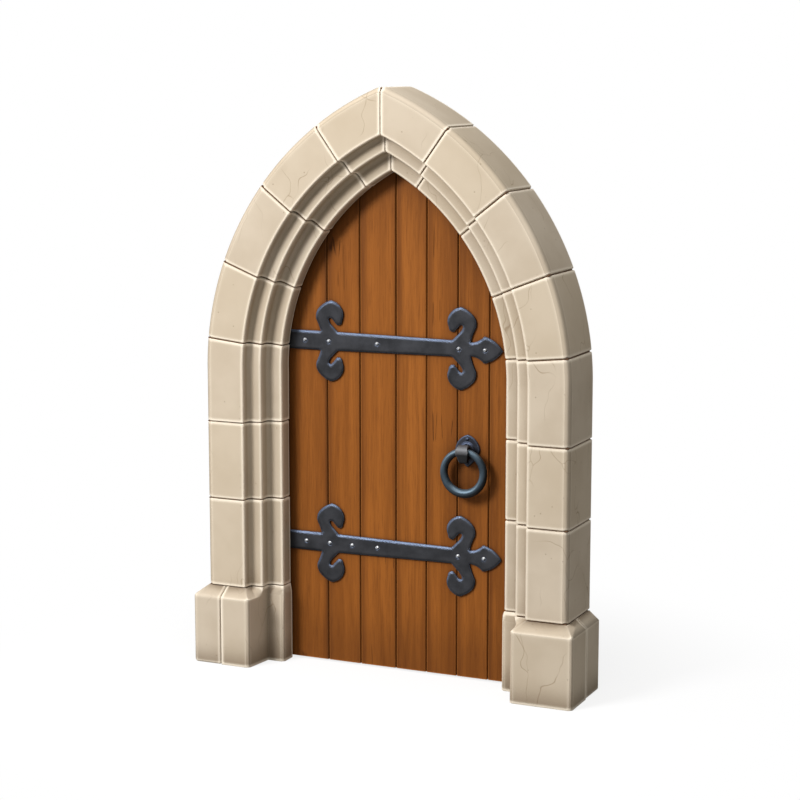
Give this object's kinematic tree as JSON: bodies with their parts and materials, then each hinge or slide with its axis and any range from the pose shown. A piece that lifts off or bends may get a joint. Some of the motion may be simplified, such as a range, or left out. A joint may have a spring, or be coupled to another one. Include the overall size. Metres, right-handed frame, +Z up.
{
  "type": "arched wooden door",
  "caption": "Pointed-arch plank door with scrolled iron strap hinges and a ring handle, hung in a moulded stone surround.",
  "frame": {"origin": "on the floor, in the middle of the opening, half way between the plinths' front and the back of the stone", "axes": "+Z up, +Y through the wall from the front to the back, +X to the right seen from the front"},
  "size_m": [1.696, 0.326, 2.4136],
  "materials": {
    "stone": "rubbed",
    "mortar": "rough",
    "oak": "oiled",
    "iron": "forged, waxed black",
    "lead": "dull"
  },
  "bodies": {
    "surround": {"jamb_stone_left_1": "stone", "jamb_stone_left_2": "stone", "jamb_stone_left_3": "stone", "jamb_stone_right_1": "stone", "jamb_stone_right_2": "stone", "jamb_stone_right_3": "stone", "arch_stone_left_1": "stone", "arch_stone_left_2": "stone", "arch_stone_left_3": "stone", "arch_stone_left_4": "stone", "arch_stone_right_1": "stone", "arch_stone_right_2": "stone", "arch_stone_right_3": "stone", "arch_stone_right_4": "stone", "plinth_stone_left_outer": "stone", "plinth_stone_left_inner": "stone", "plinth_stone_right_front": "stone", "plinth_stone_right_rear": "stone", "mortar": "mortar", "pintle_lower": "iron", "pintle_upper": "iron", "pintle_lead_lower": "lead", "pintle_lead_upper": "lead"},
    "leaf": {"plank_1": "oak", "plank_2": "oak", "plank_3": "oak", "plank_4": "oak", "plank_5": "oak", "plank_6": "oak", "plank_7": "oak", "ledge_lower": "oak", "ledge_middle": "oak", "ledge_upper": "oak", "ledge_head": "oak", "strap_hinge_lower": "iron", "strap_hinge_upper": "iron", "strap_nails_lower": "iron", "strap_nails_upper": "iron", "ledge_nails": "iron", "handle_plate": "iron", "handle_plate_nails": "iron", "ring_eye": "iron", "ring_eye_washer": "iron", "ring_eye_nut": "iron"},
    "ring": {"ring": "iron"}
  },
  "joints": [
    {"name": "door_swing", "type": "hinge", "parent": "surround", "child": "leaf", "pos_m": [-0.51158, 0.13908, 0.945], "axis": [0, 0, 1], "range_deg": [0, 100]},
    {"name": "ring_swing", "type": "hinge", "parent": "leaf", "child": "ring", "pos_m": [0.308, 0.025, 0.96], "axis": [1, 0, 0], "range_deg": [-165, 5]}
  ]
}
